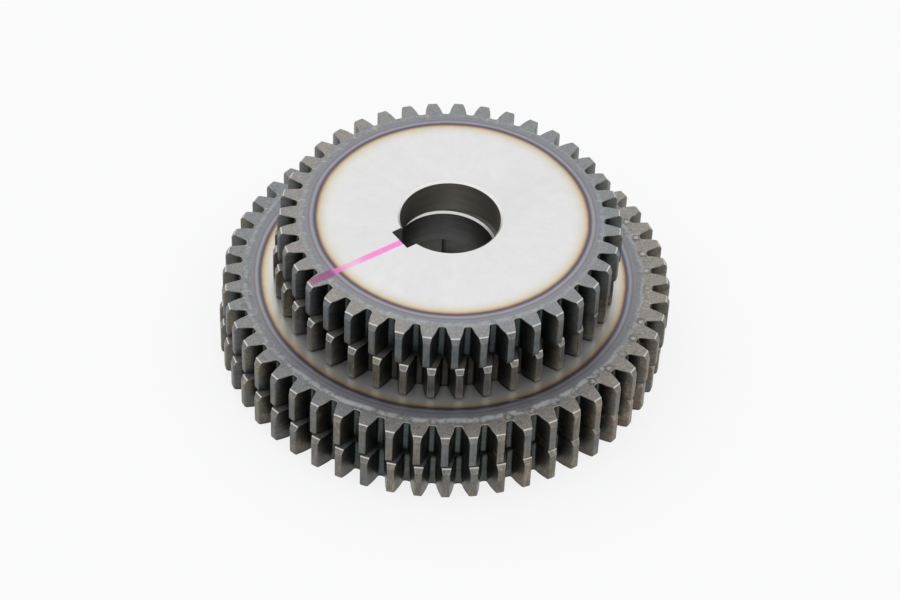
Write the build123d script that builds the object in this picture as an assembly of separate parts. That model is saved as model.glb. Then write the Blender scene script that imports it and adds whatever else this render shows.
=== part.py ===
from build123d import *
from math import acos, cos, degrees, pi, radians, sin, tan
import os

# Four loose spur gears stacked face to face, two small ones on two large ones.
# Millimetres. +Z is up, along the gears' axes. The origin is where the axis of
# the lowest gear meets its bottom face.

# Tooth system, shared by all four gears
gear_module = 2.5
pressure_angle = radians(20)
addendum = 1.0 * gear_module
dedendum = 1.25 * gear_module
root_fillet = 0.3 * gear_module
small_teeth = 39
large_teeth = 52
flank_points = 5

# Blank: a turned disc with a bore
face_width = 12.0
bore_radius = 15.0
bore_chamfer = 0.6
tip_chamfer_in = 0.9
tip_chamfer_down = 1.7
lower_corner = 0.9

# Keyway, for an 8 mm parallel key on a 30 mm shaft
key_width = 8.0
key_depth = 3.3

# How each gear lies in the stack, from the bottom up: its teeth, the shift of
# its axis from the lowest gear's, and the angles of one tooth and of its keyway
stack = {
    "lower_large_gear": (large_teeth, (0.0, 0.0), 3.06, -100.0),
    "upper_large_gear": (large_teeth, (0.97, 1.08), 1.6, 82.0),
    "lower_small_gear": (small_teeth, (0.09, 0.46), 9.09, -75.0),
    "upper_small_gear": (small_teeth, (1.29, 1.08), 5.87, -143.0),
}


def involute(angle):
    return tan(angle) - angle


def pitch_radius(teeth):
    return teeth * gear_module / 2


def tip_radius(teeth):
    return pitch_radius(teeth) + addendum


def root_radius(teeth):
    return pitch_radius(teeth) - dedendum


def outside_radius(teeth):
    # Where the flanks are drawn to, past the tips
    return tip_radius(teeth) + addendum


def half_space_angle(radius, teeth):
    # Half the angle of the space between two teeth, on a circle of this radius
    base_radius = pitch_radius(teeth) * cos(pressure_angle)
    at_radius = acos(min(1, base_radius / radius))
    half_tooth = pi / (2 * teeth) + involute(pressure_angle) - involute(at_radius)
    return pi / teeth - half_tooth


def polar_point(radius, angle):
    return (radius * cos(angle), radius * sin(angle))


def blank(teeth):
    # The turned section: bore chamfered at both ends, the upper rim chamfered
    # far down and the lower rim rounded
    tip = tip_radius(teeth)
    section = Polyline(
        (tip - lower_corner, 0),
        (bore_radius + bore_chamfer, 0),
        (bore_radius, bore_chamfer),
        (bore_radius, face_width - bore_chamfer),
        (bore_radius + bore_chamfer, face_width),
        (tip - tip_chamfer_in, face_width),
        (tip, face_width - tip_chamfer_down),
        (tip, lower_corner),
    )
    rounded_rim = TangentArc((tip, lower_corner), (tip - lower_corner, 0), tangent=(0, -1))
    profile = Plane.XZ * make_face([section, rounded_rim])
    return revolve(profile, Axis.Z)


def space_walls(teeth):
    # The walls of the space between two teeth, centred on +X: a flank, the
    # filleted floor and the other flank
    root = root_radius(teeth)
    outside = outside_radius(teeth)
    radii = [root + (outside - root) * step / (flank_points - 1) for step in range(flank_points)]
    left = [polar_point(radius, half_space_angle(radius, teeth)) for radius in radii]
    right = [(x, -y) for x, y in left]
    floor = ThreePointArc(right[0], (root, 0), left[0])
    mouth = Line(left[-1], right[-1])
    space = make_face([floor, Spline(left), mouth, Spline(right)])
    corners = space.vertices().sort_by(lambda corner: corner.center().X)[:2]
    return fillet(corners, root_fillet).edges().filter_by(GeomType.LINE, reverse=True)


def toothed_outline(teeth):
    # The spaces' walls round the axis, joined by straight lines past the tips
    walls = space_walls(teeth)
    outside = outside_radius(teeth)
    half_mouth = half_space_angle(outside, teeth)
    pitch = 2 * pi / teeth
    edges = []
    for index in range(teeth):
        edges += [Rot(0, 0, degrees(index * pitch)) * wall for wall in walls]
        past_space = polar_point(outside, index * pitch + half_mouth)
        next_space = polar_point(outside, (index + 1) * pitch - half_mouth)
        edges.append(Line(past_space, next_space))
    return make_face(edges)


def wheel(teeth):
    # Toothed blank without its keyway, one tooth centred on +X
    half_pitch = 180 / teeth
    return blank(teeth) & Rot(0, 0, half_pitch) * extrude(toothed_outline(teeth), face_width)


def keyway():
    # Key slot out of the bore wall towards +X, run past both faces
    reach = bore_radius + key_depth
    return Pos(reach / 2, 0, face_width / 2) * Box(reach, key_width, 2 * face_width)


wheels = {teeth: wheel(teeth) for teeth in (small_teeth, large_teeth)}
os.makedirs("parts", exist_ok=True)
for level, (name, (teeth, shift, tooth_angle, keyway_angle)) in enumerate(stack.items()):
    gear = Rot(0, 0, tooth_angle) * wheels[teeth] - Rot(0, 0, keyway_angle) * keyway()
    placed = Pos(shift[0], shift[1], level * face_width) * gear
    export_step(placed, "parts/" + name + ".step")
    print(name, "solids", len(placed.solids()), "volume", round(placed.volume, 1))
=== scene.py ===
import math
import bpy
import numpy as np
from mathutils import Matrix, Vector, noise


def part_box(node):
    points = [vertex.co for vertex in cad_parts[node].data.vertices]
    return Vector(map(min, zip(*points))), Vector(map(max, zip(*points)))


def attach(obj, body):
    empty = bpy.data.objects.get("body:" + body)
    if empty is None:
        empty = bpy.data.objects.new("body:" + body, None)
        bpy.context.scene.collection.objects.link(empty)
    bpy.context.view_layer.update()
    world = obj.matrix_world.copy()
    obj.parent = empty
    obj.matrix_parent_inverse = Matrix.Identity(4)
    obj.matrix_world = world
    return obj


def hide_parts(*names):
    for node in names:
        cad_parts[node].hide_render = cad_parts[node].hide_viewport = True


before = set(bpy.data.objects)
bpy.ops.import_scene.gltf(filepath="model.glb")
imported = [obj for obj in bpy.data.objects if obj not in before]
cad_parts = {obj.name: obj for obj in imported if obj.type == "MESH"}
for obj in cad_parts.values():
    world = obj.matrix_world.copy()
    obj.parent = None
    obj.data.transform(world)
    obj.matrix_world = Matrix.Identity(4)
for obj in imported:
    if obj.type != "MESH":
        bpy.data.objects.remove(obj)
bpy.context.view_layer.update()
mm = 0.001
print("frame loaded:", len(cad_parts), "gears")


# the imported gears: what each one measures
gearTeeth = {"upper_small_gear": 39, "lower_small_gear": 39, "upper_large_gear": 52, "lower_large_gear": 52}

toothForm = {  # in modules, apart from the angle
    "pressureAngle": math.radians(20),
    "addendum": 1.0,
    "dedendum": 1.25,
    "rootFillet": 0.3,
}


def readGear(node):
    # axis, heights, radii and turns of one gear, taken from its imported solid
    points = np.array([v.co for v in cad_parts[node].data.vertices])
    low, high = (np.array(corner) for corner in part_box(node))
    middle = (low + high)[:2] / 2
    reach = np.linalg.norm(points[:, :2] - middle, axis=1)
    rim = points[reach > reach.max() - 0.25 * mm][:, :2]
    system = np.column_stack([2 * rim, np.ones(len(rim))])
    axis = np.linalg.lstsq(system, (rim ** 2).sum(axis=1), rcond=None)[0][:2]
    flat = points[:, :2] - axis
    radius = np.linalg.norm(flat, axis=1)
    angle = np.arctan2(flat[:, 1], flat[:, 0])
    teeth = gearTeeth[node]
    tips = angle[radius > radius.max() - 0.05 * mm]
    keyCorners = flat[(radius > radius.min() + 1.5 * mm) & (radius < radius.min() + 5 * mm)]
    keyMiddle = keyCorners.mean(axis=0)
    return {
        "teeth": teeth,
        "x": axis[0], "y": axis[1], "low": low[2], "high": high[2],
        "tip": radius.max(),
        "module": radius.max() / (teeth / 2 + toothForm["addendum"]),
        "bore": radius.min(),
        "toothTurn": np.angle(np.exp(1j * teeth * tips).mean()) / teeth,
        "keyTurn": math.atan2(keyMiddle[1], keyMiddle[0]),
        "keyFloor": float(np.median(keyCorners @ (keyMiddle / np.linalg.norm(keyMiddle)))),
    }


gears = {node: readGear(node) for node in gearTeeth}
for node, gear in gears.items():
    print(node, "axis mm", round(gear["x"] / mm, 2), round(gear["y"] / mm, 2),
          "turn", round(math.degrees(gear["toothTurn"]), 2), "key", round(math.degrees(gear["keyTurn"]), 1))


# the gears' meshes
gearForm = {  # metres
    "chamferIn": 0.9 * mm,
    "chamferDown": 1.7 * mm,
    "lowerCorner": 0.9 * mm,
    "edgeBevel": 0.15 * mm,
    "wornBand": 0.2 * mm,
    "tipRound": 0.16 * mm,
    "boreChamfer": 0.6 * mm,
    "keyWidth": 8.0 * mm,
    "edgeUnevenness": 0.5,
    "ringsPerPitch": 4,
    "boreCorners": 120,
    "sharpAngle": math.radians(28),
}

# how bare each edge is, 0 to 1, by the part of the outline that it runs along
edgeWearOf = {
    "plain": {"tip": 0.0, "corner": 0.3, "flank": 0.0, "root": 0.0},
    "topEdge": {"tip": 0.9, "corner": 0.9, "flank": 0.5, "root": 0.7},
    "bottomEdge": {"tip": 0.2, "corner": 0.3, "flank": 0.1, "root": 0.0},
}

chamferWear = {
    "upper_small_gear": 0.33,
    "lower_small_gear": 0.55,
    "upper_large_gear": 0.35,
    "lower_large_gear": 0.4,
}


def involute(angle):
    return math.tan(angle) - angle


def halfTooth(gear, radius):
    # half a tooth's angle at a radius
    pitchRadius = gear["teeth"] * gear["module"] / 2
    baseRadius = pitchRadius * math.cos(toothForm["pressureAngle"])
    atRadius = math.acos(min(1, baseRadius / radius))
    return math.pi / (2 * gear["teeth"]) + involute(toothForm["pressureAngle"]) - involute(atRadius)


def polar(radius, angle):
    return np.array([radius * math.cos(angle), radius * math.sin(angle)])


def filletEnds(gear, root, rounding):
    # where the root's rounding leaves the flank, and its centre
    low, high = root + 0.1 * rounding, root + 2.5 * rounding
    for _ in range(30):
        radius = (low + high) / 2
        point = polar(radius, halfTooth(gear, radius))
        ahead = polar(radius * 1.0005, halfTooth(gear, radius * 1.0005)) - point
        side = np.array([-ahead[1], ahead[0]]) / np.linalg.norm(ahead)
        centre = point + rounding * side
        if np.linalg.norm(centre) < root + rounding:
            low = radius
        else:
            high = radius
    return radius, point, centre


def halfOutline(gear, cap):
    # one half of a tooth from its middle to the middle of the space: (x, y, kind)
    module = gear["module"]
    root = (gear["teeth"] / 2 - toothForm["dedendum"]) * module
    rounding = toothForm["rootFillet"] * module
    tipRound = gearForm["tipRound"]
    startRadius, startPoint, centre = filletEnds(gear, root, rounding)
    corner = halfTooth(gear, cap)
    found = []
    for part in (0.0, 0.5, 0.82):
        found.append((*polar(cap, (corner - tipRound / cap) * part), "tip"))
    found.append((*polar(cap, corner - tipRound / cap), "corner"))
    found.append((*polar(cap - 0.3 * tipRound, halfTooth(gear, cap) - 0.3 * tipRound / cap), "corner"))
    found.append((*polar(cap - tipRound, halfTooth(gear, cap - tipRound)), "corner"))
    span = cap - tipRound - startRadius
    for part in (0.045, 0.3, 0.5, 0.7, 0.87):
        radius = cap - tipRound - span * part
        found.append((*polar(radius, halfTooth(gear, radius)), "flank"))
    fromAngle = math.atan2(*(startPoint - centre)[::-1])
    toAngle = math.atan2(*(-centre)[::-1])
    sweep = (toAngle - fromAngle + math.pi) % (2 * math.pi) - math.pi
    for step in range(5):
        turn = fromAngle + sweep * step / 4
        found.append((*(centre + polar(rounding, turn)), "root"))
    landStart = math.atan2(centre[1], centre[0])
    middle = math.pi / gear["teeth"]
    found.append((*polar(root, (landStart + middle) / 2), "root"))
    found.append((*polar(root, middle), "root"))
    return found


def gearOutline(gear, cap, inset, level):
    # the whole toothed outline, pulled in by inset: points and the part of the tooth each is on
    half = halfOutline(gear, cap)
    mirrored = [(x, -y, kind) for x, y, kind in half[:0:-1]]
    pitch = mirrored[1:] + half
    points, kinds = [], []
    for tooth in range(gear["teeth"]):
        turn = gear["toothTurn"] + tooth * 2 * math.pi / gear["teeth"]
        cosTurn, sinTurn = math.cos(turn), math.sin(turn)
        for x, y, kind in pitch:
            points.append((x * cosTurn - y * sinTurn, x * sinTurn + y * cosTurn))
            kinds.append(kind)
    points = np.array(points)
    if inset:
        along = np.roll(points, -1, axis=0) - points
        along /= np.linalg.norm(along, axis=1)[:, None]
        inward = np.column_stack([-along[:, 1], along[:, 0]])
        mean = inward + np.roll(inward, 1, axis=0)
        mean /= np.linalg.norm(mean, axis=1)[:, None]
        spread = np.maximum((mean * inward).sum(axis=1), 0.6)
        uneven = np.array([noise.noise(Vector((x / mm, y / mm, level * 7.1))) for x, y in points])
        points = points + mean * (inset * (1 + gearForm["edgeUnevenness"] * uneven) / spread)[:, None]
    return points, kinds


def gearLevels(node):
    # (height, cap radius, inset, wear by kind) from the bottom face to the top face
    form, gear = gearForm, gears[node]
    tip, thick = gear["tip"], gear["high"] - gear["low"]
    bevel, corner, down = form["edgeBevel"], form["lowerCorner"], form["chamferDown"]
    foot = thick - down
    plain, topEdge, bottomEdge = (edgeWearOf[name] for name in ("plain", "topEdge", "bottomEdge"))
    bare = chamferWear[node]
    if node.startswith("lower"):   # less bare wear on the top edges in the corners under the gear above, painted shade there
        topEdge = {**topEdge, "flank": 0.25, "root": 0.0}
    chamferFoot = {"tip": bare, "corner": bare, "flank": 0.0, "root": 0.0}
    onChamfer = {"tip": 0.0, "corner": max(bare, 0.3), "flank": 0.0, "root": 0.0}
    nothing = dict.fromkeys(plain, 0.0)
    levels = [(0, tip - corner, bevel + form["wornBand"], nothing), (0, tip - corner, bevel, bottomEdge)]
    for height in (bevel, 0.35 * corner, 0.65 * corner, corner):
        cap = tip - corner + math.sqrt(corner ** 2 - (corner - height) ** 2)
        levels.append((height, cap, 0, bottomEdge if height == bevel else plain))
    levels += [(corner + 0.9 * mm, tip, 0, plain), (0.5 * thick, tip, 0, plain)]
    levels += [(foot - 0.22 * mm, tip, 0, plain), (foot - 0.06 * mm, tip, 0, chamferFoot)]
    for part, wear in ((0.05, chamferFoot), (0.16, onChamfer), (0.78, onChamfer)):
        levels.append((foot + part * down, tip - part * form["chamferIn"], 0, wear))
    for under in (bevel + 0.16 * mm, bevel):
        cap = tip - form["chamferIn"] * (1 - under / down)
        levels.append((thick - under, cap, 0, topEdge if under == bevel else onChamfer))
    levels.append((thick, tip - form["chamferIn"], bevel, topEdge))
    levels.append((thick, tip - form["chamferIn"], bevel + form["wornBand"], nothing))
    return levels, foot


class MeshParts:
    # vertices, faces, finish numbers and edge marks gathered for one mesh
    def __init__(self):
        self.points, self.marks, self.faces, self.finishes = [], [], [], []

    def loop(self, flat, height, marks):
        first = len(self.points)
        self.points += [(x, y, height) for x, y in flat]
        self.marks += list(marks)
        return list(range(first, len(self.points)))

    def face(self, corners, finish):
        self.faces.append(corners)
        self.finishes.append(finish)

    def strip(self, below, above, finishes):
        count = len(below)
        for index in range(count):
            after = (index + 1) % count
            self.face([below[index], below[after], above[after], above[index]], finishes[index])


finishNumber = {"face": 0, "flank": 1, "tip": 2, "chamfer": 3, "bore": 4, "boreEdge": 5}


def boreLoop(gear, radius, count):
    # bore circle from one keyway corner round to the other, then the keyway's floor corners
    half = gearForm["keyWidth"] / 2
    start = math.asin(half / radius)
    angles = np.linspace(start, 2 * math.pi - start, count)
    points = [polar(radius, angle) for angle in angles]
    points += [np.array([gear["keyFloor"], -half]), np.array([gear["keyFloor"], half])]
    cosTurn, sinTurn = math.cos(gear["keyTurn"]), math.sin(gear["keyTurn"])
    return [(x * cosTurn - y * sinTurn, x * sinTurn + y * cosTurn) for x, y in points]


def faceDisc(parts, gear, outer, bore, height, upward):
    # the flat face between the toothed outline and the bore, as rings
    teeth, perPitch = gear["teeth"], gearForm["ringsPerPitch"]
    count = teeth * perPitch
    root = (teeth / 2 - toothForm["dedendum"]) * gear["module"]
    perTooth = len(outer) // teeth
    firstTurn = gear["toothTurn"] - math.pi / teeth

    def add(corners):
        parts.face(corners if upward else corners[::-1], finishNumber["face"])

    ringTurns = [firstTurn + 2 * math.pi * step / count for step in range(count)]
    rings = []
    for radius in (root - 1.1 * mm, root - 6 * mm, gear["keyFloor"] + 2.5 * mm):
        rings.append(parts.loop([polar(radius, turn) for turn in ringTurns], height, [0] * count))
    for tooth in range(teeth):
        edgePoints = [outer[(tooth * perTooth + step - 1) % len(outer)] for step in range(perTooth + 1)]
        ringPoints = [rings[0][(tooth * perPitch + step) % count] for step in range(perPitch + 1)]
        add(edgePoints + ringPoints[::-1])
    for outside, inside in zip(rings, rings[1:]):
        for index in range(count):
            after = (index + 1) % count
            add([inside[index], outside[index], outside[after], inside[after]])
    # the innermost ring meets the bore circle; its points near the keyway close round the slot
    ring = rings[-1]
    circle = bore[:-2]
    keyTurn = gear["keyTurn"]

    def ringIndex(turn):
        return round((turn - firstTurn) / (2 * math.pi) * count)

    half = math.asin(gearForm["keyWidth"] / 2 / gear["bore"]) + 0.08
    startIndex, endIndex = ringIndex(keyTurn + half), ringIndex(keyTurn + 2 * math.pi - half)
    span = endIndex - startIndex
    last = 0
    for index in range(span):
        target = round((index + 1) / span * (len(circle) - 1))
        corners = [ring[(startIndex + index) % count], ring[(startIndex + index + 1) % count]]
        add(corners + [circle[step] for step in range(target, last - 1, -1)])
        last = target
    slot = [ring[(endIndex + step) % count] for step in range(startIndex + count - endIndex + 1)]
    add(slot + [circle[0], bore[-1], bore[-2], circle[-1]])


def buildGear(node, pieceName):
    gear = gears[node]
    parts = MeshParts()
    levels, chamferFoot = gearLevels(node)
    thick = gear["high"] - gear["low"]
    loops = []
    for number, (height, cap, inset, wear) in enumerate(levels):
        flat, kinds = gearOutline(gear, cap, inset, number)
        loops.append(parts.loop(flat, height, [wear[kind] for kind in kinds]))
    for number in range(len(levels) - 1):
        low, high = levels[number], levels[number + 1]
        middle = (low[0] + high[0]) / 2
        flatBand = low[0] == high[0]
        finishes = []
        for kind in kinds:
            if flatBand:
                finish = "face"
            elif kind in ("tip", "corner"):
                finish = "chamfer" if middle > chamferFoot else "tip"
            else:
                finish = "flank"
            finishes.append(finishNumber[finish])
        parts.strip(loops[number], loops[number + 1], finishes)
    # bore wall, with a chamfer at each end
    bore, chamfer = gear["bore"], gearForm["boreChamfer"]
    count = gearForm["boreCorners"]
    boreLoops = []
    wide = bore + chamfer
    steps = [(0, wide), (chamfer, bore), (thick / 2, bore), (thick - chamfer, bore), (thick, wide)]
    for height, radius in steps:
        boreLoops.append(parts.loop(boreLoop(gear, radius, count), height, [0] * (count + 2)))
    for lower, upper, finish in zip(boreLoops, boreLoops[1:], ("boreEdge", "bore", "bore", "boreEdge")):
        # the keyway's own walls have no chamfer
        parts.strip(upper, lower, [finishNumber[finish]] * (count - 1) + [finishNumber["bore"]] * 3)
    faceDisc(parts, gear, loops[-1], boreLoops[-1], thick, True)
    faceDisc(parts, gear, loops[0], boreLoops[0], 0, False)
    mesh = bpy.data.meshes.new(pieceName)
    mesh.from_pydata(parts.points, [], parts.faces)
    mesh.attributes.new("edge", "FLOAT", "POINT").data.foreach_set("value", parts.marks)
    mesh.polygons.foreach_set("material_index", parts.finishes)
    mesh.validate()
    mesh.shade_smooth()
    mesh.set_sharp_from_angle(angle=gearForm["sharpAngle"])
    piece = bpy.data.objects.new(pieceName, mesh)
    bpy.context.scene.collection.objects.link(piece)
    piece.location = (gear["x"], gear["y"], gear["low"])
    return piece


pieces = {
    "upper_small_gear": buildGear("upper_small_gear", "upperSmallGearSteel"),
    "lower_small_gear": buildGear("lower_small_gear", "lowerSmallGearSteel"),
    "upper_large_gear": buildGear("upper_large_gear", "upperLargeGearSteel"),
    "lower_large_gear": buildGear("lower_large_gear", "lowerLargeGearSteel"),
}
for node, piece in pieces.items():
    print(piece.name, "faces", len(piece.data.polygons))


# short ways to write shader nodes
def addNode(tree, kind, inputs=None, **settings):
    node = tree.nodes.new(kind)
    for name, value in settings.items():
        setattr(node, name, value)
    for name, value in (inputs or {}).items():
        if isinstance(value, bpy.types.NodeSocket):
            tree.links.new(value, node.inputs[name])
        else:
            node.inputs[name].default_value = value
    return node


def calc(tree, operation, *values):
    return addNode(tree, "ShaderNodeMath", dict(enumerate(values)), operation=operation).outputs[0]


def times(tree, first, second):
    return calc(tree, "MULTIPLY", first, second)


def vectorCalc(tree, operation, *values):
    return addNode(tree, "ShaderNodeVectorMath", dict(enumerate(values)), operation=operation)


def remap(tree, value, fromLow, fromHigh, toLow=0.0, toHigh=1.0, smooth=False):
    inputs = {"Value": value, "From Min": fromLow, "From Max": fromHigh, "To Min": toLow, "To Max": toHigh}
    node = addNode(tree, "ShaderNodeMapRange", inputs, clamp=True)
    if smooth:
        node.interpolation_type = "SMOOTHSTEP"
    return node.outputs["Result"]


def blend(tree, factor, first, second, mode="MIX"):
    inputs = {0: factor, 6: first, 7: second}
    return addNode(tree, "ShaderNodeMix", inputs, data_type="RGBA", blend_type=mode).outputs[2]


def noiseTexture(tree, vector, scale, detail=3.0, roughness=0.55, distortion=0.0):
    inputs = {"Vector": vector, "Scale": scale, "Detail": detail}
    inputs |= {"Roughness": roughness, "Distortion": distortion}
    return addNode(tree, "ShaderNodeTexNoise", inputs).outputs["Fac"]


def colourRamp(tree, factor, stops):
    node = addNode(tree, "ShaderNodeValToRGB", {"Fac": factor})
    ramp = node.color_ramp
    while len(ramp.elements) > 1:
        ramp.elements.remove(ramp.elements[-1])
    for number, (place, colour) in enumerate(stops):
        element = ramp.elements[0] if number == 0 else ramp.elements.new(place)
        element.position = place
        element.color = (*colour, 1)
    return node.outputs["Color"]


def shade(red, green, blue):
    # a colour given as it is seen, 0 to 255
    return tuple(((v / 255 + 0.055) / 1.055) ** 2.4 if v > 10 else v / 3294.6 for v in (red, green, blue))


def newGroup(name, inputs, outputs):
    group = bpy.data.node_groups.new(name, "ShaderNodeTree")
    for label, kind, value in inputs:
        socket = group.interface.new_socket(label, in_out="INPUT", socket_type="NodeSocket" + kind)
        socket.default_value = value
    for label, kind in outputs:
        group.interface.new_socket(label, in_out="OUTPUT", socket_type="NodeSocket" + kind)
    start = group.nodes.new("NodeGroupInput").outputs
    end = group.nodes.new("NodeGroupOutput").inputs
    return group, start, end


def useGroup(tree, group, inputs):
    node = addNode(tree, "ShaderNodeGroup", node_tree=group)
    for name, value in inputs.items():
        if isinstance(value, bpy.types.NodeSocket):
            tree.links.new(value, node.inputs[name])
        else:
            node.inputs[name].default_value = value
    return node.outputs


# effects that several finishes share
def makeStroke():
    # how far a place is from a straight line on the face, and how far along it, in mm
    inputs = [("Position", "Vector", (0, 0, 0)), ("Start", "Vector", (0, 0, 0)), ("End", "Vector", (1, 0, 0))]
    group, start, end = newGroup("stroke", inputs, [("Distance", "Float"), ("Along", "Float")])
    flat = vectorCalc(group, "MULTIPLY", start["Position"], (1, 1, 0)).outputs[0]
    line = vectorCalc(group, "SUBTRACT", start["End"], start["Start"]).outputs[0]
    here = vectorCalc(group, "SUBTRACT", flat, start["Start"]).outputs[0]
    dot = vectorCalc(group, "DOT_PRODUCT", here, line).outputs["Value"]
    share = calc(group, "DIVIDE", dot, vectorCalc(group, "DOT_PRODUCT", line, line).outputs["Value"])
    share = addNode(group, "ShaderNodeClamp", {"Value": share}).outputs[0]
    nearest = vectorCalc(group, "SCALE", line)
    group.links.new(share, nearest.inputs["Scale"])
    apart = vectorCalc(group, "LENGTH", vectorCalc(group, "SUBTRACT", here, nearest.outputs[0]).outputs[0])
    group.links.new(apart.outputs["Value"], end["Distance"])
    group.links.new(share, end["Along"])
    return group


def makeHeatTint():
    # colours left by rim hardening, by the distance out from a ring drawn round the gear, in mm
    inputs = [("Position", "Vector", (0, 0, 0)), ("Centre", "Vector", (0, 0, 0)), ("Ring", "Float", 40.0),
              ("Wander", "Float", 0.25), ("Seed", "Float", 0.0)]
    group, start, end = newGroup("heatTint", inputs, [("Tint", "Color"), ("Rim", "Float"), ("Out", "Float")])
    flat = vectorCalc(group, "SUBTRACT", start["Position"], start["Centre"]).outputs[0]
    flat = vectorCalc(group, "MULTIPLY", flat, (1, 1, 0)).outputs[0]
    radius = vectorCalc(group, "LENGTH", flat).outputs["Value"]
    depth = addNode(group, "ShaderNodeCombineXYZ", {"Z": start["Seed"]}).outputs[0]
    shifted = vectorCalc(group, "ADD", flat, depth).outputs[0]
    wave = calc(group, "SUBTRACT", noiseTexture(group, shifted, 0.06, 2.0), 0.5)
    ripple = calc(group, "SUBTRACT", noiseTexture(group, shifted, 0.5, 2.0), 0.5)
    wave = calc(group, "ADD", wave, calc(group, "MULTIPLY", ripple, 0.35))
    out = calc(group, "SUBTRACT", radius, start["Ring"])
    out = calc(group, "ADD", out, calc(group, "MULTIPLY", wave, start["Wander"]))
    rampStart, rampEnd = -5.0, 7.0
    stops = [(-5.0, shade(226, 226, 226)), (-3.4, shade(224, 223, 220)), (-2.3, shade(220, 216, 208)),
             (-1.4, shade(214, 206, 188)), (-0.7, shade(200, 182, 150)), (-0.2, shade(164, 130, 96)),
             (0.1, shade(118, 90, 92)), (0.4, shade(94, 86, 108)), (0.75, shade(104, 112, 138)),
             (1.1, shade(140, 146, 156)), (1.5, shade(160, 157, 152)), (1.85, shade(146, 134, 134)),
             (2.25, shade(124, 123, 136)), (2.6, shade(140, 141, 150)), (3.1, shade(138, 134, 144)),
             (3.6, shade(132, 138, 144)), (5.0, shade(132, 137, 141))]
    place = [((distance - rampStart) / (rampEnd - rampStart), colour) for distance, colour in stops]
    group.links.new(colourRamp(group, remap(group, out, rampStart, rampEnd), place), end["Tint"])
    group.links.new(remap(group, out, 0.6, 2.6), end["Rim"])
    group.links.new(out, end["Out"])
    return group


def makeMottle():
    # cloudy lights and darks with fine grain, on dark or bright steel
    inputs = [("Position", "Vector", (0, 0, 0)), ("Size", "Float", 1.0), ("Strength", "Float", 0.2)]
    group, start, end = newGroup("mottle", inputs, [("Light", "Float"), ("Grain", "Float")])
    scaled = vectorCalc(group, "SCALE", start["Position"])
    group.links.new(calc(group, "DIVIDE", 1.0, start["Size"]), scaled.inputs["Scale"])
    cloud = noiseTexture(group, scaled.outputs[0], 0.35, 4.0, 0.6, 0.3)
    grain = noiseTexture(group, scaled.outputs[0], 2.4, 3.0, 0.6)
    both = calc(group, "ADD", times(group, cloud, 0.6), times(group, grain, 0.4))
    centred = times(group, calc(group, "SUBTRACT", both, 0.5), 5.0)
    group.links.new(calc(group, "ADD", 1.0, times(group, centred, start["Strength"])), end["Light"])
    group.links.new(grain, end["Grain"])
    return group


def makeSector():
    # 1 on one side of the gear, fading to 0 round the other
    inputs = [("Position", "Vector", (0, 0, 0)), ("Side", "Vector", (1, 0, 0)),
              ("From", "Float", 0.0), ("To", "Float", 1.0)]
    group, start, end = newGroup("sector", inputs, [("Near", "Float")])
    flat = vectorCalc(group, "MULTIPLY", start["Position"], (1, 1, 0)).outputs[0]
    facing = vectorCalc(group, "DOT_PRODUCT", vectorCalc(group, "NORMALIZE", flat).outputs[0], start["Side"])
    near = remap(group, facing.outputs["Value"], start["From"], start["To"], smooth=True)
    group.links.new(near, end["Near"])
    return group


def makePatina():
    # the oily skin on the teeth, from blue-green black through grey to brown
    inputs = [("Position", "Vector", (0, 0, 0)), ("Brown", "Float", 0.3), ("Seed", "Float", 0.0)]
    group, start, end = newGroup("patina", inputs, [("Colour", "Color")])
    shift = addNode(group, "ShaderNodeCombineXYZ", {"Z": start["Seed"]}).outputs[0]
    moved = vectorCalc(group, "ADD", start["Position"], shift)
    stretched = vectorCalc(group, "MULTIPLY", moved.outputs[0], (1, 1, 0.55)).outputs[0]
    broad = noiseTexture(group, stretched, 0.16, 3.0, 0.6, 0.4)
    fine = noiseTexture(group, stretched, 0.9, 3.0, 0.65, 0.3)
    level = calc(group, "ADD", times(group, broad, 0.55), times(group, fine, 0.45))
    level = calc(group, "ADD", level, times(group, calc(group, "SUBTRACT", start["Brown"], 0.5), 0.24))
    stops = [(0.3, shade(82, 94, 98)), (0.4, shade(100, 105, 108)), (0.5, shade(110, 110, 109)),
             (0.56, shade(112, 109, 99)), (0.63, shade(128, 118, 105)), (0.72, shade(158, 146, 134))]
    group.links.new(colourRamp(group, level, stops), end["Colour"])
    return group


def makeEdgeWear():
    # bare metal along edges, broken up where the edge is only lightly worn
    inputs = [("Edge", "Float", 0.0), ("Position", "Vector", (0, 0, 0)), ("Amount", "Float", 1.0)]
    group, start, end = newGroup("edgeWear", inputs, [("Worn", "Float")])
    patchy = noiseTexture(group, start["Position"], 0.7, 3.0, 0.65)
    push = calc(group, "ADD", 0.35, calc(group, "MULTIPLY", patchy, 1.3))
    level = calc(group, "MULTIPLY", calc(group, "MULTIPLY", start["Edge"], start["Amount"]), push)
    group.links.new(remap(group, level, 0.3, 0.85), end["Worn"])
    return group


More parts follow.
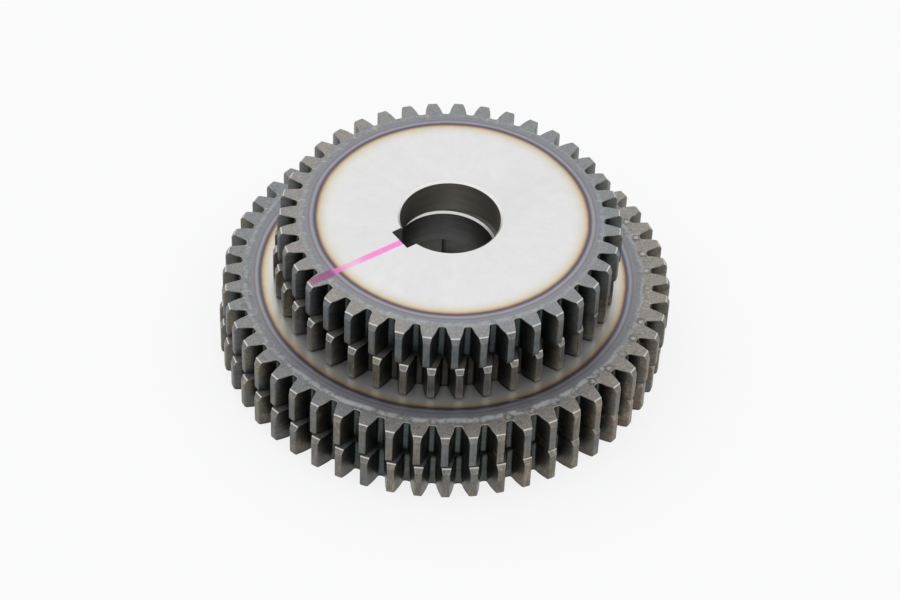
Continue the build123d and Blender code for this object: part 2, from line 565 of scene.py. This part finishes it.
def makeRootMarks():
    # distance in mm to the nearest of the spots that sit just inside each gap between teeth
    inputs = [("Position", "Vector", (0, 0, 0)), ("Teeth", "Float", 39.0),
              ("Turn", "Float", 0.0), ("Radius", "Float", 44.0)]
    group, start, end = newGroup("rootMarks", inputs, [("Distance", "Float"), ("Radius", "Float")])
    parts = addNode(group, "ShaderNodeSeparateXYZ", {0: start["Position"]}).outputs
    angle = calc(group, "SUBTRACT", calc(group, "ARCTAN2", parts["Y"], parts["X"]), start["Turn"])
    pitches = times(group, angle, calc(group, "DIVIDE", start["Teeth"], 2 * math.pi))
    offset = calc(group, "SUBTRACT", calc(group, "FRACT", calc(group, "ADD", pitches, 0.5)), 0.5)
    pitch = calc(group, "DIVIDE", times(group, start["Radius"], 2 * math.pi), start["Teeth"])
    across = times(group, offset, pitch)
    flat = vectorCalc(group, "MULTIPLY", start["Position"], (1, 1, 0)).outputs[0]
    radius = vectorCalc(group, "LENGTH", flat).outputs["Value"]
    outward = calc(group, "SUBTRACT", radius, start["Radius"])
    square = calc(group, "ADD", times(group, across, across), times(group, outward, outward))
    group.links.new(calc(group, "SQRT", square), end["Distance"])
    group.links.new(radius, end["Radius"])
    return group


def makeRust():
    # orange-brown spots, thicker on one side of a gear
    inputs = [("Position", "Vector", (0, 0, 0)), ("Near", "Float", 0.0), ("Amount", "Float", 0.5)]
    group, start, end = newGroup("rust", inputs, [("Rusted", "Float"), ("Colour", "Color")])
    spots = noiseTexture(group, start["Position"], 0.34, 3.0, 0.6, 0.5)
    level = calc(group, "MULTIPLY", calc(group, "ADD", start["Near"], 0.45), start["Amount"])
    over = calc(group, "SUBTRACT", spots, calc(group, "SUBTRACT", 0.75, times(group, level, 0.13)))
    group.links.new(remap(group, over, 0.0, 0.08, 0.0, 0.75, smooth=True), end["Rusted"])
    tone = noiseTexture(group, start["Position"], 1.6, 2.0)
    stops = [(0.3, shade(84, 56, 46)), (0.5, shade(122, 76, 54)), (0.68, shade(156, 94, 62))]
    group.links.new(colourRamp(group, tone, stops), end["Colour"])
    return group


stroke = makeStroke()
heatTint = makeHeatTint()
mottle = makeMottle()
sector = makeSector()
patina = makePatina()
edgeWear = makeEdgeWear()
rootMarks = makeRootMarks()
rust = makeRust()
print("effects made:", len(bpy.data.node_groups))


def startMaterial(name):
    material = bpy.data.materials.new(name)
    material.use_nodes = True
    tree = material.node_tree
    shader = tree.nodes["Principled BSDF"]
    local = addNode(tree, "ShaderNodeTexCoord").outputs["Object"]
    position = vectorCalc(tree, "SCALE", local)
    position.inputs["Scale"].default_value = 1000
    edge = addNode(tree, "ShaderNodeAttribute", attribute_name="edge").outputs["Fac"]
    return material, tree, shader, position.outputs[0], edge


def addBump(tree, shader, height, strength, distance=0.0001):
    inputs = {"Height": height, "Strength": strength, "Distance": distance}
    tree.links.new(addNode(tree, "ShaderNodeBump", inputs).outputs["Normal"], shader.inputs["Normal"])


# flat faces: bright ground metal inside, heat tint, then a mottled rim out to the tooth tops
# one value per gear sets how strong the painted highlight is on the rim band at the front
faceFinish = {
    "upper_small_gear": {"ring": 40.4, "centre": (0.58, 0.07), "seed": 0.0, "warm": 0.75, "moons": 0.0,
                         "warmSide": (-0.97, -0.24, 0), "band": 0.12, "bandAt": 4.4, "patches": 0.1,
                         "oil": 0.0, "dirt": 0.25},
    "lower_small_gear": {"ring": 40.4, "centre": (0.1, 0.1), "seed": 9.0, "warm": 0.9, "moons": 0.0,
                         "warmSide": (-0.6, -0.8, 0), "band": 0.12, "bandAt": 4.4, "patches": 0.1,
                         "oil": 0.75, "dirt": 0.5},
    "upper_large_gear": {"ring": 54.95, "centre": (-0.9, -0.12), "seed": 4.0, "warm": 1.0, "moons": 1.0,
                         "warmSide": (0.92, -0.38, 0), "band": 0.22, "bandAt": 4.9, "patches": 0.7,
                         "oil": 0.75, "dirt": 0.6},
    "lower_large_gear": {"ring": 54.95, "centre": (0.2, 0.0), "seed": 15.0, "warm": 1.0, "moons": 0.7,
                         "warmSide": (0.9, 0.4, 0), "band": 0.2, "bandAt": 4.9, "patches": 0.4,
                         "oil": 0.5, "dirt": 0.6},
}

groundFace = {"cloud": 0.05, "streak": 0.04, "metal": 0.72, "roughness": 0.3}
toothTops = {
    "cool": shade(134, 139, 144),
    "warm": shade(152, 146, 139),
    "fleck": shade(196, 188, 174),
    "stain": shade(92, 90, 88),
    "bareTip": shade(214, 212, 210),
    "bareRoot": shade(190, 178, 160),
    "patch": shade(206, 208, 212),
    "oil": shade(70, 68, 66),
    # painted shade for the corners under the gear above, on the lower gears' faces
    "grime": shade(46, 42, 38),
    "frontSide": (0.1, -0.995, 0),
    "metal": 0.8,
    "roughness": 0.48,
}

# the marker line and the scratches, in mm from the gear's axis
markerLine = {
    "gear": "upper_small_gear",
    "start": (-13.6, -11.6, 0), "end": (-40.4, -30.8, 0),
    "halfWidth": 1.08,
    "inkAlong": [(0.0, 0.95), (0.3, 0.92), (0.42, 0.8), (0.5, 0.42), (0.58, 0.5), (0.64, 0.72), (0.8, 0.8),
                 (0.95, 0.6), (1.0, 0.0)],
    "ink": shade(250, 128, 212), "inkOnRim": shade(148, 68, 128),
}

scratchColour = shade(196, 196, 198)
scratches = {
    "upper_small_gear": [],
    "lower_small_gear": [],
    "upper_large_gear": [((8.0, -53.2, 0), (31.0, -48.5, 0)), ((33.0, -47.0, 0), (42.0, -47.4, 0))],
    "lower_large_gear": [],
}


def addMarker(tree, colour, position, rim):
    # felt-pen ink, dry and streaky along the line
    values = markerLine
    line = useGroup(tree, stroke, {"Position": position, "Start": values["start"], "End": values["end"]})
    ragged = calc(tree, "SUBTRACT", noiseTexture(tree, position, 0.9, 3.0), 0.5)
    apart = calc(tree, "ADD", line["Distance"], times(tree, ragged, 0.7))
    apart = calc(tree, "SUBTRACT", apart, times(tree, rim, 0.4))
    width = values["halfWidth"]
    inked = remap(tree, apart, width - 0.3, width + 0.2, 1.0, 0.0, smooth=True)
    strength = colourRamp(tree, line["Along"], [(place, (share,) * 3) for place, share in values["inkAlong"]])
    dry = remap(tree, noiseTexture(tree, position, 2.2, 3.0, 0.7), 0.3, 0.5, 0.65, 1.0)
    inked = times(tree, times(tree, inked, strength), dry)
    ink = blend(tree, rim, (*values["ink"], 1), (*values["inkOnRim"], 1))
    return blend(tree, inked, colour, ink)


def addScratches(tree, colour, position, lines):
    for lineStart, lineEnd in lines:
        line = useGroup(tree, stroke, {"Position": position, "Start": lineStart, "End": lineEnd})
        skips = remap(tree, noiseTexture(tree, position, 0.5, 2.0), 0.4, 0.55)
        mask = times(tree, remap(tree, line["Distance"], 0.05, 0.2, 0.6, 0.0), skips)
        colour = blend(tree, mask, colour, (*scratchColour, 1))
    return colour


def makeFace(node):
    values, gear = faceFinish[node], gears[node]
    root = (gear["teeth"] / 2 - toothForm["dedendum"]) * gear["module"] / mm
    material, tree, shader, position, edge = startMaterial(pieces[node].name + "Face")
    tintInputs = {"Position": position, "Centre": (*values["centre"], 0), "Ring": values["ring"]}
    tint = useGroup(tree, heatTint, tintInputs | {"Wander": 0.6, "Seed": values["seed"]})
    moonTurn = gear["toothTurn"] + math.pi / gear["teeth"]
    marksInputs = {"Position": position, "Teeth": gear["teeth"], "Turn": moonTurn, "Radius": root - 1.25}
    marks = useGroup(tree, rootMarks, marksInputs)
    rim = tint["Rim"]

    # inside: clouds, and faint grinding streaks that run outward
    bright = useGroup(tree, mottle, {"Position": position, "Size": 9.0, "Strength": groundFace["cloud"]})
    parts = addNode(tree, "ShaderNodeSeparateXYZ", {0: position}).outputs
    turn = times(tree, calc(tree, "ARCTAN2", parts["Y"], parts["X"]), 9.0)
    outwardRun = times(tree, marks["Radius"], 0.05)
    fan = addNode(tree, "ShaderNodeCombineXYZ", {"X": turn, "Y": outwardRun}).outputs[0]
    streaks = calc(tree, "SUBTRACT", noiseTexture(tree, fan, 1.6, 3.0, 0.7), 0.5)
    insideLight = calc(tree, "ADD", bright["Light"], times(tree, streaks, groundFace["streak"] * 2))
    colour = blend(tree, 1.0, tint["Tint"], insideLight, "MULTIPLY")

    # rim and tooth tops
    warmInputs = {"Position": position, "Side": values["warmSide"], "From": -0.35, "To": 0.75}
    warmSide = useGroup(tree, sector, warmInputs)["Near"]
    outward = remap(tree, tint["Out"], 2.6, 7.5, smooth=True)
    blotch = remap(tree, noiseTexture(tree, position, 0.28, 4.0, 0.6, 0.4), 0.36, 0.62)
    warmth = times(tree, times(tree, outward, values["warm"]),
                   calc(tree, "ADD", times(tree, warmSide, 0.7), times(tree, blotch, 0.5)))
    tops = blend(tree, warmth, (*toothTops["cool"], 1), (*toothTops["warm"], 1))
    grain = useGroup(tree, mottle, {"Position": position, "Size": 0.7, "Strength": 0.26})
    tops = blend(tree, 1.0, tops, grain["Light"], "MULTIPLY")
    stain = noiseTexture(tree, position, 0.5, 4.0, 0.65, 0.6)
    stain = remap(tree, stain, 0.5, 0.68, 0.0, values["dirt"], smooth=True)
    tops = blend(tree, stain, tops, (*toothTops["stain"], 1))
    fleckNoise = noiseTexture(tree, position, 1.5, 2.0, 0.6)
    flecks = remap(tree, fleckNoise, 0.56, 0.68, 0.0, 0.75, smooth=True)
    flecks = times(tree, flecks, calc(tree, "ADD", 0.3, times(tree, warmth, 0.6)))
    tops = blend(tree, flecks, tops, (*toothTops["fleck"], 1))
    # a rubbed light band that wanders round just outside the tint; at the front it is wider, stronger and
    # silvery, a painted highlight
    frontInputs = {"Position": position, "Side": toothTops["frontSide"], "From": 0.45, "To": 0.95}
    front = useGroup(tree, sector, frontInputs)["Near"]
    drift = calc(tree, "SUBTRACT", noiseTexture(tree, position, 0.1, 3.0, 0.6), 0.5)
    bandOut = calc(tree, "SUBTRACT", tint["Out"], values["bandAt"])
    bandOut = calc(tree, "ADD", bandOut, times(tree, drift, 2.4))
    width = remap(tree, front, 0, 1, 0.8, 1.15)
    band = calc(tree, "SUBTRACT", 1.0, calc(tree, "DIVIDE", calc(tree, "ABSOLUTE", bandOut), width))
    band = addNode(tree, "ShaderNodeClamp", {"Value": times(tree, band, 1.6)}).outputs[0]
    rubbed = noiseTexture(tree, position, 0.4, 3.0, 0.6, 0.3)
    rubbed = remap(tree, rubbed, 0.38, 0.54, 0.15, 1.0, smooth=True)
    share = calc(tree, "ADD", times(tree, front, values["patches"]), values["band"])
    tops = blend(tree, times(tree, times(tree, rubbed, band), share), tops, (*toothTops["patch"], 1))
    # bright half-moons inside the gaps, with a dark ring round each
    patchy = remap(tree, noiseTexture(tree, position, 0.12, 2.0), 0.4, 0.55, 0.15, 1.0)
    onWarmSide = calc(tree, "ADD", 0.1, times(tree, warmSide, 0.9))
    here = times(tree, times(tree, patchy, values["moons"]), onWarmSide)
    waver = times(tree, calc(tree, "SUBTRACT", fleckNoise, 0.5), 2.0)
    wavering = calc(tree, "ADD", marks["Distance"], waver)
    ringFade = remap(tree, wavering, 1.2, 1.9, 1.0, 0.0, smooth=True)
    ring = times(tree, remap(tree, wavering, 0.65, 0.95, smooth=True), ringFade)
    tops = blend(tree, times(tree, ring, times(tree, here, 0.65)), tops, (*toothTops["stain"], 1))
    spot = remap(tree, wavering, 0.35, 0.85, 1.0, 0.0, smooth=True)
    tops = blend(tree, times(tree, spot, times(tree, here, 0.5)), tops, (*toothTops["patch"], 1))
    # pale dried edges round the gaps, in places
    places = remap(tree, noiseTexture(tree, position, 0.22, 3.0, 0.7), 0.48, 0.62, smooth=True)
    haloFade = remap(tree, wavering, 1.5, 2.1, 1.0, 0.0, smooth=True)
    halo = times(tree, remap(tree, wavering, 1.1, 1.5, smooth=True), haloFade)
    tops = blend(tree, times(tree, halo, times(tree, places, 0.6)), tops, (*toothTops["fleck"], 1))
    # oil that crept in between the discs, round the bore
    oil = remap(tree, marks["Radius"], 15.7, 18.0, values["oil"], 0.0)
    colour = blend(tree, oil, colour, (*toothTops["oil"], 1))
    if node.startswith("lower"):   # and painted shade in the corners that the gear above leaves open, under its teeth
        seam = remap(tree, marks["Radius"], root, root + 3, 0.8, 0.0)
        seam = times(tree, remap(tree, marks["Radius"], root - 4, root - 3), seam)
        tops = blend(tree, seam, tops, (*toothTops["grime"], 1))
    # the tint keeps its own colours until it meets the rim
    colour = blend(tree, remap(tree, tint["Out"], 2.6, 3.8, smooth=True), colour, tops)

    worn = useGroup(tree, edgeWear, {"Edge": edge, "Position": position, "Amount": 1.0})["Worn"]
    towardTip = remap(tree, marks["Radius"], root + 0.8, root + 3.0)
    bare = blend(tree, towardTip, (*toothTops["bareRoot"], 1), (*toothTops["bareTip"], 1))
    colour = blend(tree, worn, colour, bare)
    colour = addScratches(tree, colour, position, scratches[node])
    if node == markerLine["gear"]:
        colour = addMarker(tree, colour, position, rim)
    tree.links.new(colour, shader.inputs["Base Color"])
    metal = remap(tree, rim, 0, 1, groundFace["metal"], toothTops["metal"])
    tree.links.new(metal, shader.inputs["Metallic"])
    roughness = remap(tree, rim, 0, 1, groundFace["roughness"], toothTops["roughness"])
    tree.links.new(roughness, shader.inputs["Roughness"])
    addBump(tree, shader, times(tree, grain["Grain"], remap(tree, rim, 0, 1, 0.08, 1.0)), 0.15)
    return material


# sides: the gain scales the oily skin's colour
sideFinish = {
    "flank": {"gain": 0.8, "worn": shade(168, 164, 158), "metal": 0.9, "roughness": 0.33, "mottle": 0.36},
    "tip": {"gain": 1.0, "worn": shade(190, 188, 185), "metal": 0.85, "roughness": 0.4, "mottle": 0.28},
    "chamfer": {"gain": 1.25, "worn": shade(206, 204, 200), "metal": 0.85, "roughness": 0.38, "mottle": 0.2},
    "bore": {"gain": 1.0, "worn": shade(190, 188, 185), "metal": 0.85, "roughness": 0.36, "mottle": 0.08},
}

# bore chamfer colours: bright bare steel on the upper small gear, raised further as a painted highlight on
# its back rim; dark on the large gears, painted shade deep in the bore
gearSkin = {
    # each gear's amount of painted shade at the lower edge of its sides is set here
    "upper_small_gear": {"brown": 0.3, "land": (0.5, 0.62, 0.64), "rust": 0.0, "seed": 0.0, "grime": 0.25,
                         "boreEdge": shade(240, 239, 236), "boreColour": shade(158, 153, 144)},
    "lower_small_gear": {"brown": 0.55, "land": (0.34, 0.31, 0.28), "rust": 0.25, "seed": 11.0, "grime": 0.8,
                         "boreEdge": shade(228, 227, 227), "boreColour": shade(102, 102, 102)},
    "upper_large_gear": {"brown": 0.55, "land": (0.5, 0.62, 0.64), "rust": 0.8, "seed": 23.0, "grime": 0.35,
                         "boreEdge": shade(92, 90, 88), "boreColour": shade(88, 88, 82)},
    "lower_large_gear": {"brown": 0.62, "land": (0.48, 0.58, 0.6), "rust": 0.8, "seed": 37.0, "grime": 0.3,
                         "boreEdge": shade(92, 90, 88), "boreColour": shade(88, 88, 82)},
}

rustSide = (0.94, -0.34, 0)
# painted shade: a dark colour for the lower edge of the sides and one for the corners under the gear above
paintedSideShade = {"foot": shade(24, 22, 20), "seam": shade(20, 19, 18)}


def makeSide(node, finish):
    values, skin, gear = sideFinish[finish], gearSkin[node], gears[node]
    material, tree, shader, position, edge = startMaterial(pieces[node].name + finish.capitalize())
    near = useGroup(tree, sector, {"Position": position, "Side": rustSide, "From": 0.2, "To": 0.95})["Near"]
    brown = calc(tree, "ADD", skin["brown"], times(tree, near, 0.3 * skin["rust"]))
    skinInputs = {"Position": position, "Brown": brown, "Seed": skin["seed"]}
    skinColour = useGroup(tree, patina, skinInputs)["Colour"]
    spread = useGroup(tree, mottle, {"Position": position, "Size": 1.2, "Strength": values["mottle"]})
    # tool marks: up and down on the tips, across the flanks
    parts = addNode(tree, "ShaderNodeSeparateXYZ", {0: position}).outputs
    flat = vectorCalc(tree, "MULTIPLY", position, (1, 1, 0)).outputs[0]
    radius = vectorCalc(tree, "LENGTH", flat).outputs["Value"]
    if finish == "flank":
        turn = times(tree, calc(tree, "ARCTAN2", parts["Y"], parts["X"]), 12.0)
        run = {"X": times(tree, radius, 0.3), "Y": turn, "Z": times(tree, parts["Z"], 3.0)}
        along = addNode(tree, "ShaderNodeCombineXYZ", run)
    else:
        along = vectorCalc(tree, "MULTIPLY", position, (1.8, 1.8, 0.25))
    lines = calc(tree, "SUBTRACT", noiseTexture(tree, along.outputs[0], 1.0, 3.0, 0.65), 0.5)
    light = calc(tree, "ADD", spread["Light"], times(tree, lines, 1.3))
    colour = blend(tree, 1.0, skinColour, times(tree, light, values["gain"]), "MULTIPLY")
    if finish == "flank":
        # painted shade in the gaps: lighter towards the tip, near black lower down, darker in the fillet
        # corners, over a grey-green floor
        root = (gear["teeth"] / 2 - toothForm["dedendum"]) * gear["module"] / mm
        outward = remap(tree, radius, root, gear["tip"] / mm)
        corner = tuple(0.85 * part for part in skin["land"])
        depth = [(0.0, skin["land"]), (0.05, corner), (0.14, (0.3, 0.32, 0.33)), (0.45, (0.5, 0.5, 0.5)),
                 (0.85, (0.8, 0.79, 0.77)), (1.0, (1.05, 1.03, 1.0))]
        colour = blend(tree, 1.0, colour, colourRamp(tree, outward, depth), "MULTIPLY")
        # painted shade on the lower gears' flanks, just under the gear above
        if node.startswith("lower"):
            thick = (gear["high"] - gear["low"]) / mm
            seam = remap(tree, parts["Z"], thick - 1.4, thick - 0.3, 0.0, 0.85)
            seam = times(tree, seam, remap(tree, outward, 0.3, 0.6, 1.0, 0.0))
            colour = blend(tree, seam, colour, (*paintedSideShade["seam"], 1))
    # painted shade: the sides turn darker towards the lower edge, where each gear meets the part below
    grime = remap(tree, parts["Z"], 0.25, 1.3, skin["grime"], 0.0, smooth=True)
    colour = blend(tree, grime, colour, (*paintedSideShade["foot"], 1))
    spots = useGroup(tree, rust, {"Position": position, "Near": near, "Amount": skin["rust"]})
    rusted = spots["Rusted"]
    colour = blend(tree, rusted, colour, spots["Colour"])
    worn = useGroup(tree, edgeWear, {"Edge": edge, "Position": position, "Amount": 1.0})["Worn"]
    colour = blend(tree, worn, colour, (*values["worn"], 1))
    tree.links.new(colour, shader.inputs["Base Color"])
    metal = times(tree, calc(tree, "SUBTRACT", 1.0, rusted), values["metal"])
    tree.links.new(metal, shader.inputs["Metallic"])
    tree.links.new(remap(tree, rusted, 0, 1, values["roughness"], 0.85), shader.inputs["Roughness"])
    addBump(tree, shader, spread["Grain"], 0.15)
    return material


def makeBore(node):
    # turned wall of the bore, and the keyway's walls
    material, tree, shader, position, edge = startMaterial(pieces[node].name + "Bore")
    values = sideFinish["bore"]
    spread = useGroup(tree, mottle, {"Position": position, "Size": 1.6, "Strength": values["mottle"]})
    turned = vectorCalc(tree, "MULTIPLY", position, (0.12, 0.12, 1.8)).outputs[0]
    rings = calc(tree, "SUBTRACT", noiseTexture(tree, turned, 1.0, 3.0, 0.65), 0.5)
    light = calc(tree, "ADD", spread["Light"], times(tree, rings, 0.7))
    colour = blend(tree, 1.0, (*gearSkin[node]["boreColour"], 1), light, "MULTIPLY")
    tree.links.new(colour, shader.inputs["Base Color"])
    shader.inputs["Metallic"].default_value = values["metal"]
    shader.inputs["Roughness"].default_value = values["roughness"]
    addBump(tree, shader, rings, 0.1)
    return material


def makeBoreEdge(node):
    # the chamfers that break the bore's edges
    material, tree, shader, position, edge = startMaterial(pieces[node].name + "BoreEdge")
    spread = useGroup(tree, mottle, {"Position": position, "Size": 2.0, "Strength": 0.08})
    # this colour carries a painted highlight on the upper small gear and painted shade on the large gears
    colour = blend(tree, 1.0, (*gearSkin[node]["boreEdge"], 1), spread["Light"], "MULTIPLY")
    tree.links.new(colour, shader.inputs["Base Color"])
    shader.inputs["Metallic"].default_value = 0.85
    shader.inputs["Roughness"].default_value = 0.35
    return material


for node, piece in pieces.items():
    piece.data.materials.append(makeFace(node))
    for finish in ("flank", "tip", "chamfer"):
        piece.data.materials.append(makeSide(node, finish))
    piece.data.materials.append(makeBore(node))
    piece.data.materials.append(makeBoreEdge(node))
    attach(piece, "root")
    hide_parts(node)
print("finishes on", len(pieces), "gears")


stageValues = {
    "floorSize": 4.0,
    "floorColour": (0.97, 0.98, 1.0, 1),
    "backgroundShare": 0.8,   # how much of the floor's look is plain white to the camera
    "worldDiffuse": 0.75,
    "topLampPower": 2.2,
    "topLampSize": 1.2,
    "topLampPlace": (-0.5, 0.4, 1.2),
    "topLampTarget": (0, 0, 0.02),
}


def seenDirectly(tree):
    # 1 where the camera looks straight at it, in a mirror or through glass
    path = addNode(tree, "ShaderNodeLightPath").outputs
    mirrored = calc(tree, "MAXIMUM", path["Is Glossy Ray"], path["Is Transmission Ray"])
    return calc(tree, "MAXIMUM", path["Is Camera Ray"], mirrored)


def makeFloor():
    half = stageValues["floorSize"] / 2
    mesh = bpy.data.meshes.new("floor")
    corners = [(-half, -half, 0), (half, -half, 0), (half, half, 0), (-half, half, 0)]
    mesh.from_pydata(corners, [], [(0, 1, 2, 3)])
    floor = bpy.data.objects.new("floor", mesh)
    bpy.context.scene.collection.objects.link(floor)
    material = bpy.data.materials.new("paleFloor")
    material.use_nodes = True
    tree = material.node_tree
    shader = tree.nodes["Principled BSDF"]
    shader.inputs["Base Color"].default_value = stageValues["floorColour"]
    shader.inputs["Roughness"].default_value = 0.9
    white = addNode(tree, "ShaderNodeEmission", {"Color": (1, 1, 1, 1), "Strength": 1.0})
    share = times(tree, seenDirectly(tree), stageValues["backgroundShare"])
    mixed = addNode(tree, "ShaderNodeMixShader", {0: share, 1: shader.outputs[0], 2: white.outputs[0]})
    tree.links.new(mixed.outputs[0], tree.nodes["Material Output"].inputs["Surface"])
    mesh.materials.append(material)


def makeWorld():
    world = bpy.data.worlds.new("studio")
    bpy.context.scene.world = world
    world.use_nodes = True
    tree = world.node_tree
    ambient = tree.nodes["Background"]
    level = stageValues["worldDiffuse"]
    ambient.inputs["Color"].default_value = (level, level, level, 1)
    white = addNode(tree, "ShaderNodeBackground", {"Color": (1, 1, 1, 1), "Strength": 1.0})
    shaders = {0: seenDirectly(tree), 1: ambient.outputs[0], 2: white.outputs[0]}
    mixed = addNode(tree, "ShaderNodeMixShader", shaders)
    tree.links.new(mixed.outputs[0], tree.nodes["World Output"].inputs["Surface"])


def addLamp(name, power, size, place, target):
    lamp = bpy.data.lights.new(name, "AREA")
    lamp.energy = power
    lamp.size = size
    holder = bpy.data.objects.new(name, lamp)
    holder.location = place
    holder.rotation_euler = (Vector(target) - Vector(place)).to_track_quat("-Z", "Y").to_euler()
    bpy.context.scene.collection.objects.link(holder)


makeFloor()
makeWorld()
addLamp("topSoftbox", stageValues["topLampPower"], stageValues["topLampSize"], stageValues["topLampPlace"],
        stageValues["topLampTarget"])

cameraValues = {
    "elevation": math.radians(43.648),
    "distance": 0.8679,
    "roll": math.radians(2.6335),
    "tilt": 0.02846,   # radians, aims a little off the gear's middle
    "turn": -0.00116,
    "lens": 117.41,
}


def turnMatrix(angle, axis):
    return Matrix.Rotation(angle, 3, axis)


def makeCamera():
    values = cameraValues
    top = gears["upper_small_gear"]
    target = Vector((top["x"], top["y"], top["high"]))
    up, back = math.sin(values["elevation"]), math.cos(values["elevation"])
    place = target + values["distance"] * Vector((0, -back, up))
    rows = Matrix(((1, 0, 0), (0, -up, -back), (0, back, -up)))   # right, down and ahead
    aim = turnMatrix(values["tilt"], "X") @ turnMatrix(values["turn"], "Y")
    rows = turnMatrix(values["roll"], "Z") @ aim @ rows
    camera = bpy.data.objects.new("camera", bpy.data.cameras.new("camera"))
    camera.data.lens = values["lens"]
    camera.data.clip_end = 20
    turned = Matrix((rows[0], -rows[1], -rows[2])).transposed().to_4x4()
    camera.matrix_world = Matrix.Translation(place) @ turned
    bpy.context.scene.collection.objects.link(camera)
    bpy.context.scene.camera = camera


makeCamera()
bpy.context.scene.view_settings.view_transform = "Standard"
print("stage set")
